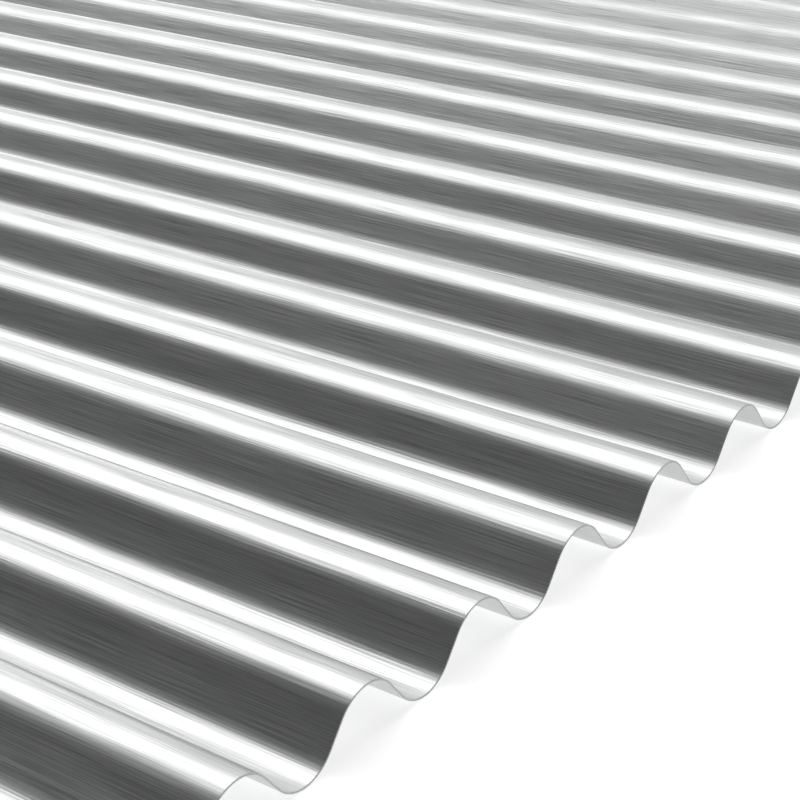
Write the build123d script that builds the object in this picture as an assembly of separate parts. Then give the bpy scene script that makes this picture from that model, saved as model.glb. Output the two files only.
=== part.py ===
from build123d import *
import math
import os

# A corrugated steel sheet, rolled from one flat sheet. All sizes are in millimetres.
# +X runs along the corrugations, +Y across them and +Z up. The sheet lies on its troughs at Z = 0.

# Driving sizes
pitch = 67.73            # from one crest to the next: 2 2/3 in
wave_depth = 22.2        # rise from trough to crest on the same face of the sheet: 7/8 in
flank_straight = 11.6    # flat strip of each flank, between the two bends
sheet_thickness = 0.76   # 22 gauge
wave_count = 18          # crests across the sheet: 18 x 2 2/3 in is 4 ft
sheet_length = 2438.4    # stock length along the corrugations: 8 ft

# Bend geometry of the middle surface. The level tangent at a crest and the line of the flank meet at a
# corner. The bend touches both at the distance corner_run from that corner.
corner_run = ((pitch / 4) ** 2 + (wave_depth / 2) ** 2 - (flank_straight / 2) ** 2) / (
    pitch / 2 + flank_straight
)
flank_angle = math.degrees(math.atan2(wave_depth / 2, pitch / 4 - corner_run))
bend_radius = corner_run / math.tan(math.radians(flank_angle / 2))

cover_width = wave_count * pitch
trough_centre_z = sheet_thickness / 2 + bend_radius
crest_centre_z = sheet_thickness / 2 + wave_depth - bend_radius


def trough(y, face, start, sweep):
    """Bend at a trough, hollow side up. face is +1 for the upper face of the sheet, -1 for the lower."""
    radius = bend_radius - face * sheet_thickness / 2
    return CenterArc((y, trough_centre_z), radius, 270 + start, sweep)


def crest(y, face):
    """Bend at a crest, hollow side down, drawn in the direction of +Y."""
    radius = bend_radius + face * sheet_thickness / 2
    return CenterArc((y, crest_centre_z), radius, 90 + flank_angle, -2 * flank_angle)


def wavy_line(face):
    """One face of the sheet seen from its end: bends joined by straight flanks, trough to trough."""
    bends = [trough(-cover_width / 2, face, 0, flank_angle)]
    for wave in range(wave_count):
        start_y = -cover_width / 2 + wave * pitch
        bends.append(crest(start_y + pitch / 2, face))
        if wave < wave_count - 1:
            bends.append(trough(start_y + pitch, face, -flank_angle, 2 * flank_angle))
    bends.append(trough(cover_width / 2, face, -flank_angle, flank_angle))
    line = [bends[0]]
    for before, after in zip(bends, bends[1:]):
        line.append(Line(before @ 1, after @ 0))
        line.append(after)
    return line


lower = wavy_line(-1)
upper = wavy_line(+1)
side_edges = [Line(lower[0] @ 0, upper[0] @ 0), Line(lower[-1] @ 1, upper[-1] @ 1)]
outline = Wire(lower + upper + side_edges)
section = Plane.YZ * make_face(outline)
corrugated_sheet = extrude(section, sheet_length / 2, both=True)

os.makedirs("parts", exist_ok=True)
export_step(corrugated_sheet, "parts/corrugated_sheet.step")
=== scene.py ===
# %% [markdown]
# # A corrugated steel sheet on a studio floor
#
# Corrugated steel starts as a flat, bright strip and is rolled into even waves, which make thin metal stiff
# in one direction. This lesson dresses such a sheet for a close studio picture. Its size comes from a packed
# CAD model, so Blender only has to give it the right surface, metal and light. All lengths are in metres.
# +X runs along the waves, +Y across them and +Z up.

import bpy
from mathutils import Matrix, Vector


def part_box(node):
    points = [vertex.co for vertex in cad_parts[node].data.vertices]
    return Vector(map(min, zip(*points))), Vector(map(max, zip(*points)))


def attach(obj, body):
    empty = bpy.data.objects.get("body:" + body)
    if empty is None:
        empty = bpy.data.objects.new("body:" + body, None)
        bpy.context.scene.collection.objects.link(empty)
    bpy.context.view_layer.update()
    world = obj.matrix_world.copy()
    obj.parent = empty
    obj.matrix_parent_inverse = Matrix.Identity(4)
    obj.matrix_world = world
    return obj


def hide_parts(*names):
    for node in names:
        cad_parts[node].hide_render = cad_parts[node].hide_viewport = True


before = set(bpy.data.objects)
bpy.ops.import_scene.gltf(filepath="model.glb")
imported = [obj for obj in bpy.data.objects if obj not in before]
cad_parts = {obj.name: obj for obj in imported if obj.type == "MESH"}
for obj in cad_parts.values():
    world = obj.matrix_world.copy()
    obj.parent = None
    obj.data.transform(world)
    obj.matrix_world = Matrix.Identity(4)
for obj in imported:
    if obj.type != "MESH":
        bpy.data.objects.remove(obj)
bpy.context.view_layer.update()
cad_low, cad_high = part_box("corrugated_sheet")
print("sheet in the model, in metres:", [round(high - low, 5) for low, high in zip(cad_low, cad_high)])

# %% Tools used all through the lesson
import math

import bpy
import numpy as np
from mathutils import Quaternion, Vector

scene = bpy.context.scene

# %% [markdown]
# ## The camera
#
# The picture was taken close to one corner of the sheet's cut end, looking down at about 25 degrees, with the
# camera leaning by one degree. A camera can be placed by trial and error, or by three facts that can be
# measured: where it stands, what point it looks at, and how far it is rolled. Facts are easier to check, so
# they are used here. A long lens keeps the waves from flaring towards the edges of the picture.

# %% Stand the camera in front of the cut end
camera_stands_at = Vector((1.58399, -0.83013, 0.40039))
camera_looks_at = Vector((1.06064, -0.14174, 0.0))
camera_roll = math.radians(-1.171)

camera_data = bpy.data.cameras.new("studio_camera")
camera_data.lens = 90.875
camera_data.sensor_width = 36.0
camera_data.clip_start, camera_data.clip_end = 0.02, 400.0
camera = bpy.data.objects.new("studio_camera", camera_data)
camera.location = camera_stands_at
camera.rotation_mode = "QUATERNION"
facing = (camera_looks_at - camera_stands_at).to_track_quat("-Z", "Y")
camera.rotation_quaternion = facing @ Quaternion((0, 0, 1), camera_roll)
scene.collection.objects.link(camera)
scene.camera = camera
print("camera to aim point, in metres:", round((camera_looks_at - camera_stands_at).length, 3))

# %% [markdown]
# ## Colours and nodes
#
# Colours are picked as hex values, as on a paint chart, but a renderer adds up light, which needs linear
# values. One function makes the change. A second small function adds a node to a material with its settings
# and its links in one line, so that each finish below reads from top to bottom.

# %% Turn a hex colour into linear light
def linear(hex_colour):
    """Each channel c of the sRGB value, from 0 to 1, becomes ((c + 0.055) / 1.055) to the power 2.4, or
    c / 12.92 where c is very dark."""
    channels = np.array([int(hex_colour[i:i + 2], 16) for i in (1, 3, 5)]) / 255
    light = np.where(channels > 0.04045, ((channels + 0.055) / 1.055) ** 2.4, channels / 12.92)
    return (*light.tolist(), 1.0)


print("middle grey in linear light:", [round(v, 3) for v in linear("#808080")])

# %% Add one node with its settings and links
def add(tree, kind, settings=None, **inputs):
    """Adds a node of that kind. The settings go on the node. Each input is a value or the output it links to.
    An input's name has _ for a space, and a number after a last _ picks one of several of that name."""
    node = tree.nodes.new(kind)
    for name, value in (settings or {}).items():
        setattr(node, name, value)
    for name, value in inputs.items():
        words, _, number = name.rpartition("_")
        if number.isdigit():
            socket = [s for s in node.inputs if s.name == words.replace("_", " ")][int(number)]
        else:
            socket = node.inputs[name.replace("_", " ")]
        if isinstance(value, bpy.types.NodeSocket):
            tree.links.new(value, socket)
        else:
            socket.default_value = value
    return node


# %% Start an empty material
def new_material(name):
    """A material with no nodes, ready for add()."""
    material = bpy.data.materials.new(name)
    material.use_nodes = True
    material.node_tree.nodes.clear()
    print("new material:", name)
    return material


# %% [markdown]
# ## The floor
#
# Small metal goods are often photographed on a sheet of white acrylic that is lit a little from below. The
# floor then comes out white all over, and a shadow on it stays soft and pale. A large plane does for it. Its
# finish is a matt white that also gives off some light of its own.

# %% Lay the floor
floor_half = 60.0
floor_mesh = bpy.data.meshes.new("studio_floor")
floor_mesh.from_pydata(
    [(x * floor_half, y * floor_half, 0) for x, y in ((-1, -1), (1, -1), (1, 1), (-1, 1))],
    [],
    [(0, 1, 2, 3)],
)
studio_floor = bpy.data.objects.new("studio_floor", floor_mesh)
scene.collection.objects.link(studio_floor)

white_acrylic = new_material("white_acrylic_lit_from_below")
tree = white_acrylic.node_tree
surface = add(
    tree, "ShaderNodeBsdfPrincipled",
    Base_Color=linear("#f2f2f2"), Roughness=0.7, Emission_Color=linear("#ffffff"), Emission_Strength=0.6,
)
add(tree, "ShaderNodeOutputMaterial", Surface=surface.outputs["BSDF"])
floor_mesh.materials.append(white_acrylic)
print("floor side, in metres:", 2 * floor_half)

# %% [markdown]
# ## The light
#
# Bright metal shows hardly any colour of its own. What the eye reads as steel is a row of reflections: white
# where a wave's slope looks up into a large soft lamp, and dark grey where it looks out under the lamp's near
# edge into the room. So the lamp's near edge matters most, because it decides where each white band stops.
# One long softbox hangs over the sheet with its length along the waves, and a low strip stands behind it on
# the left, for the thin light lines on the far side of the crests. A lamp's power is its brightness times its
# area times pi.

# %% Hang the softboxes
def hang_softbox(name, middle, faces, length, width, brightness):
    """A rectangular lamp at middle that shines towards faces, with its length along X. Its power in watts is
    brightness x length x width x pi."""
    lamp = bpy.data.lights.new(name, "AREA")
    lamp.shape = "RECTANGLE"
    lamp.size, lamp.size_y = length, width
    lamp.energy = brightness * length * width * math.pi
    softbox = bpy.data.objects.new(name, lamp)
    softbox.location = middle
    softbox.rotation_mode = "QUATERNION"
    softbox.rotation_quaternion = Vector(faces).to_track_quat("-Z", "Y")
    softbox.visible_camera = False
    scene.collection.objects.link(softbox)
    print(name, "power in watts:", round(lamp.energy, 1))


hang_softbox(
    "overhead_softbox", middle=(-1.55, 0.2, 1.55), faces=(0, 0, -1), length=5.9, width=1.28, brightness=1.32,
)
hang_softbox(
    "back_strip", middle=(-2.3, 2.1, 0.235), faces=(0, -1, 0), length=3.2, width=0.33, brightness=1.47,
)

# %% [markdown]
# The room is dark on the camera's side, and a white wall stands across from it behind the sheet, as in a
# studio with a black curtain behind the camera. The wall is brighter up high and in its left corner. Its
# right end fades, so the sheet also has light and dark to mirror when it is looked at from the back. The
# camera looks down and doesn't see this room. The sheet only mirrors it, so smooth changes of grey with the
# direction are all it needs: one or two for each axis, and then a mix of curtain and wall. Each axis of a
# direction runs from -1 to 1.

# %% Paint the room as a world
room = bpy.data.worlds.new("studio_room")
room.use_nodes = True
tree = room.node_tree
tree.nodes.clear()
direction = add(tree, "ShaderNodeTexCoord")
parts = add(tree, "ShaderNodeSeparateXYZ", Vector=direction.outputs["Generated"])
shades = {
    name: add(
        tree, "ShaderNodeMapRange", {"interpolation_type": "SMOOTHSTEP"},
        Value=parts.outputs[axis], From_Min=start, From_Max=end, To_Min=shade_at_start, To_Max=shade_at_end,
    ).outputs["Result"]
    for name, axis, start, end, shade_at_start, shade_at_end in (
        ("curtain to wall", "Y", -0.28, 0.39, 0.0, 1.0),
        ("up the wall", "Z", 0.22, 0.84, 0.93, 1.14),
        ("left corner", "X", -0.93, -0.445, 1.21, 0.87),
        ("right end", "X", -0.33, 0.3, 1.0, 0.3),
    )
}
along_the_wall = add(
    tree, "ShaderNodeMath", {"operation": "MULTIPLY"},
    Value_0=shades["left corner"], Value_1=shades["right end"],
)
wall = add(
    tree, "ShaderNodeMath", {"operation": "MULTIPLY"},
    Value_0=shades["up the wall"], Value_1=along_the_wall.outputs["Value"],
)
curtain_grey = 0.082
grey = add(
    tree, "ShaderNodeMix", {"data_type": "FLOAT"},
    Factor_0=shades["curtain to wall"], A_0=curtain_grey, B_0=wall.outputs["Value"],
)
background = add(tree, "ShaderNodeBackground", Color=grey.outputs["Result"], Strength=1.0)
add(tree, "ShaderNodeOutputWorld", Surface=background.outputs["Background"])
scene.world = room
scene.view_settings.view_transform = "Standard"
print("world:", room.name)

# %% [markdown]
# ## The sheet
#
# A roller makes each wave from two kinds of stretch: an even bend, and a short straight flank between two
# bends. Modelling it face by face would be slow, and a sine curve would be a little too pointed. The easy way
# is to follow the metal as an ant would walk it. In a bend the slope angle changes by the same amount with
# each step. On a flank it stays the same. Adding up the steps gives the line, and that line is carried along
# X to make the sheet.

# %% Sizes of the rolled sheet, the same as in the model
pitch = 0.06773
wave_depth = 0.0222
flank_straight = 0.0116
sheet_thickness = 0.00076
wave_count = 18
sheet_length = 2.4384

corner_run = ((pitch / 4) ** 2 + (wave_depth / 2) ** 2 - (flank_straight / 2) ** 2) / (
    pitch / 2 + flank_straight
)
flank_angle = math.atan2(wave_depth / 2, pitch / 4 - corner_run)
bend_radius = corner_run / math.tan(flank_angle / 2)
print("flank angle in degrees:", round(math.degrees(flank_angle), 2))
print("bend radius in mm:", round(bend_radius * 1000, 2))


# %% Walk along the middle of the sheet
def walk_waves(bend_steps=16, flank_steps=3):
    """Slope angle, distance walked and place (y, z) at each stop, from one side edge to the other. A step of
    length d that turns by an angle a moves the stop by d x sin(a/2) / (a/2), in the direction halfway
    between the slope before and the slope after, which is exact for an even bend."""
    half_steps = bend_steps // 2
    slopes = np.concatenate([
        np.linspace(0, flank_angle, half_steps, endpoint=False),
        np.full(flank_steps, flank_angle),
        np.linspace(flank_angle, -flank_angle, bend_steps, endpoint=False),
        np.full(flank_steps, -flank_angle),
        np.linspace(-flank_angle, 0, half_steps, endpoint=False),
    ])
    bend_step = bend_radius * flank_angle / half_steps
    flank_step = flank_straight / flank_steps
    steps = np.repeat(
        [bend_step, flank_step, bend_step, flank_step, bend_step],
        [half_steps, flank_steps, bend_steps, flank_steps, half_steps],
    )
    slopes = np.append(np.tile(slopes, wave_count), 0.0)
    steps = np.tile(steps, wave_count)
    halfway = (slopes[1:] + slopes[:-1]) / 2
    chords = steps * np.sinc((slopes[1:] - slopes[:-1]) / 2 / math.pi)
    y = np.append(0, np.cumsum(chords * np.cos(halfway)))
    z = np.append(0, np.cumsum(chords * np.sin(halfway)))
    walked = np.append(0, np.cumsum(steps))
    return slopes, walked, y - y[-1] / 2, z + sheet_thickness / 2


slopes, walked, middle_y, middle_z = walk_waves()
print("stops:", slopes.size, "flat width before rolling, in metres:", round(float(walked[-1]), 4))

# %% [markdown]
# A length of sheet is cut with a shear. The blade presses the metal down before it parts, so the upper edge
# of the cut is slightly rounded, and the face of the cut is matt and a little darker than the skin. It is a
# fraction of a millimetre, but it is what catches the light along the cut end. A bevel would round both
# edges, so the grid of the surface gets its own short rows there, and only the upper skin drops.

# %% Rows along the sheet, with short ones at the cut ends
cut_rounding = 0.0003
inner_row_count = 41
rounding_row_count = 4
inner_rows = np.linspace(cut_rounding - sheet_length / 2, sheet_length / 2 - cut_rounding, inner_row_count)
quarter_turn = np.linspace(0, math.pi / 2, rounding_row_count + 1)[1:]
end_rows = sheet_length / 2 - cut_rounding + cut_rounding * np.sin(quarter_turn)
rows = np.concatenate([-end_rows[::-1], inner_rows, end_rows])
print("rows along the sheet:", rows.size)


# %% Carry the line along X
def sheet_skin():
    """Grid of points (row, place round the section, xyz). The section runs along the lower skin and back
    along the upper one. Each skin is half the thickness away from the middle line, square to its slope. The
    upper skin drops by r x (1 - sqrt(1 - (d / r)^2)) / 2 at the distance d into the rounding r of a cut."""
    into_cut = np.clip(np.abs(rows) - (sheet_length / 2 - cut_rounding), 0, cut_rounding) / cut_rounding
    drop = cut_rounding / 2 * (1 - np.sqrt(1 - into_cut ** 2))
    normal_y, normal_z = -np.sin(slopes), np.cos(slopes)
    half = sheet_thickness / 2
    lower = np.stack([middle_y - half * normal_y, middle_z - half * normal_z], -1)
    lower = np.broadcast_to(lower, (rows.size, slopes.size, 2))
    away = (half - drop)[:, None]
    upper = np.stack([middle_y + away * normal_y, middle_z + away * normal_z], -1)
    section = np.concatenate([lower, upper[:, ::-1]], 1)
    x = np.broadcast_to(rows[:, None, None], (*section.shape[:2], 1))
    return np.concatenate([x, section], 2)


skin = sheet_skin()
print("points on the skin:", skin.shape[0] * skin.shape[1])

# %% Join the points with faces
around = skin.shape[1]
stops = slopes.size
row, place = np.meshgrid(np.arange(rows.size - 1), np.arange(around), indexing="ij")
corners = ((0, 0), (1, 0), (1, 1), (0, 1))
skin_faces = np.stack([(row + b) * around + (place + a) % around for a, b in corners], -1).reshape(-1, 4)
here = np.arange(stops - 1)
end_face = np.stack([here, here + 1, around - 2 - here, around - 1 - here], -1)
far_end = end_face + (rows.size - 1) * around
faces = np.concatenate([skin_faces, far_end, end_face[:, ::-1]])
print("triangles:", 2 * len(faces))

# %% [markdown]
# The grain of the metal follows the sheet over each wave, so it needs a map that does the same. Its first
# value is the distance walked round the section and its second the place along the sheet, both in metres, so
# a pattern can be given its real size. The cut faces get a strip of their own past the end of the sheet.

# %% Unroll the sheet into a map
round_section = np.concatenate([walked, walked[-1] + sheet_thickness + walked])
round_section = np.append(round_section, round_section[-1] + sheet_thickness)
skin_map = np.stack([
    np.stack([round_section[place + a], rows[row + b]], -1) for a, b in corners
], -2)
gap_in_map = 0.01
past_end = sheet_length / 2 + gap_in_map
cut_map = np.stack([
    np.stack([walked[here + a], np.full(here.size, past_end + b * sheet_thickness)], -1) for a, b in corners
], -2)
other_cut_map = cut_map[:, ::-1] * (1, -1)
sheet_map = np.concatenate([part.reshape(-1, 2) for part in (skin_map, cut_map, other_cut_map)])
print("map corners:", len(sheet_map))

# %% Make the piece
sheet_mesh = bpy.data.meshes.new("rolled_sheet")
sheet_mesh.from_pydata(skin.reshape(-1, 3).tolist(), [], faces.tolist())
sheet_mesh.uv_layers.new(name="across_and_along").data.foreach_set("uv", sheet_map.ravel())
sheet_mesh.polygons.foreach_set("use_smooth", np.ones(len(faces), bool))
side_edge = ((place == stops - 1) | (place == around - 1)).ravel()
is_cut = np.concatenate([side_edge, np.ones(2 * here.size, bool)])
sheet_mesh.polygons.foreach_set("material_index", is_cut.astype(np.int32))
sharpest_smooth_angle = math.radians(40)
sheet_mesh.set_sharp_from_angle(angle=sharpest_smooth_angle)
sheet_mesh.update()
rolled_sheet = bpy.data.objects.new("rolled_sheet", sheet_mesh)
scene.collection.objects.link(rolled_sheet)
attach(rolled_sheet, "root")
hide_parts("corrugated_sheet")
print("sheet in metres:", [round(v, 5) for v in rolled_sheet.dimensions])

# %% [markdown]
# ## Brushed steel
#
# The sheet is bare steel with a satin finish. The mill polishes the strip with a belt that runs along it, and
# the belt leaves fine scratches side by side. Light is spread a lot across the scratches and little along
# them, so each reflection has soft edges over the wave and stays clean along it. That is an anisotropic
# metal, and its direction comes from the map. Steel is a grey mirror with a faint cool tint. One noise,
# squeezed across the sheet and pulled out along it, makes four layers:
#
# - scratches, fine light and dark lines. A real belt leaves them under 0.1 mm apart, which no picture of this
#   size can show, so they are drawn 0.5 mm apart.
# - grooves, 0.8 mm apart for the same reason, as a shallow relief that makes the edges of the reflections
#   slightly streaky
# - streaks, 3 mm apart, where a grain of the belt cut deeper
# - bands, 90 mm apart, where the belt was a little more or less worn, so that the waves differ in gloss

# %% Stretch a noise along the sheet
brushed_steel = new_material("brushed_steel_belt_polished")
tree = brushed_steel.node_tree
sheet_place = add(tree, "ShaderNodeUVMap", {"uv_map": "across_and_along"})


def lines_along_the_sheet(spacing, length, detail):
    """Cloudy noise that is squeezed to the spacing across the sheet and pulled out to the length along it."""
    squeezed = add(
        tree, "ShaderNodeMapping", Vector=sheet_place.outputs["UV"],
        Scale=(1 / spacing, 1 / length, 1),
    )
    noise = add(tree, "ShaderNodeTexNoise", Vector=squeezed.outputs["Vector"], Scale=1.0, Detail=detail)
    return add(
        tree, "ShaderNodeMapRange",
        Value=noise.outputs["Fac"], From_Min=0.3, From_Max=0.7, To_Min=0.0, To_Max=1.0,
    ).outputs["Result"]


scratch_spacing = 0.0005
scratches = lines_along_the_sheet(scratch_spacing, length=0.045, detail=2.0)
grooves = lines_along_the_sheet(spacing=0.0008, length=0.09, detail=1.0)
streaks = lines_along_the_sheet(spacing=0.003, length=0.4, detail=2.0)
bands = lines_along_the_sheet(spacing=0.09, length=3.0, detail=0.0)
print("scratches across the sheet:", round(float(walked[-1]) / scratch_spacing))

# %% Mix the layers into colour, roughness and relief
streaks_in_marks = 0.1
bands_in_wear = 0.8
shiniest, dullest = 0.285, 0.35
groove_depth = 0.000025
marks = add(
    tree, "ShaderNodeMix", {"data_type": "FLOAT"}, Factor_0=streaks_in_marks, A_0=scratches, B_0=streaks,
)
wear = add(tree, "ShaderNodeMix", {"data_type": "FLOAT"}, Factor_0=bands_in_wear, A_0=streaks, B_0=bands)
roughness = add(
    tree, "ShaderNodeMapRange",
    Value=wear.outputs["Result"], From_Min=0.0, From_Max=1.0, To_Min=shiniest, To_Max=dullest,
)
steel_colour = add(
    tree, "ShaderNodeMix", {"data_type": "RGBA"},
    Factor_0=marks.outputs["Result"], A_2=linear("#b1b2b2"), B_2=linear("#e8e9e9"),
)
relief = add(tree, "ShaderNodeBump", Strength=1.0, Distance=groove_depth, Height=grooves)
across_grain = add(tree, "ShaderNodeTangent", {"direction_type": "UV_MAP", "uv_map": "across_and_along"})
surface = add(
    tree, "ShaderNodeBsdfPrincipled",
    Base_Color=steel_colour.outputs["Result"], Metallic=1.0, Roughness=roughness.outputs["Result"],
    Anisotropic=0.5, Normal=relief.outputs["Normal"], Tangent=across_grain.outputs["Tangent"],
)
add(tree, "ShaderNodeOutputMaterial", Surface=surface.outputs["BSDF"])
sheet_mesh.materials.append(brushed_steel)
print("nodes in the steel:", len(tree.nodes))

# %% [markdown]
# ## The sheared edge
#
# The blade shines the first part of the cut and tears the rest, which stays grey and grainy. The edge is
# under a millimetre thick, so a rougher and darker steel with a fine grain is enough. Real tears are about
# 0.1 mm wide. They are drawn 0.4 mm wide, so that some of them show in a close picture.

# %% Finish the cut faces
sheared_steel = new_material("sheared_steel_cut_edge")
tree = sheared_steel.node_tree
edge_place = add(tree, "ShaderNodeTexCoord")
tear_size = 0.0004
tear_depth = 0.00005
tears = add(tree, "ShaderNodeTexNoise", Vector=edge_place.outputs["Object"], Scale=1 / tear_size, Detail=3.0)
torn_colour = add(
    tree, "ShaderNodeMix", {"data_type": "RGBA"},
    Factor_0=tears.outputs["Fac"], A_2=linear("#9b9d9e"), B_2=linear("#bdbfc0"),
)
torn_relief = add(tree, "ShaderNodeBump", Strength=0.4, Distance=tear_depth, Height=tears.outputs["Fac"])
surface = add(
    tree, "ShaderNodeBsdfPrincipled",
    Base_Color=torn_colour.outputs["Result"], Metallic=1.0, Roughness=0.45,
    Normal=torn_relief.outputs["Normal"],
)
add(tree, "ShaderNodeOutputMaterial", Surface=surface.outputs["BSDF"])
sheet_mesh.materials.append(sheared_steel)
print("materials on the sheet:", [material.name for material in sheet_mesh.materials])
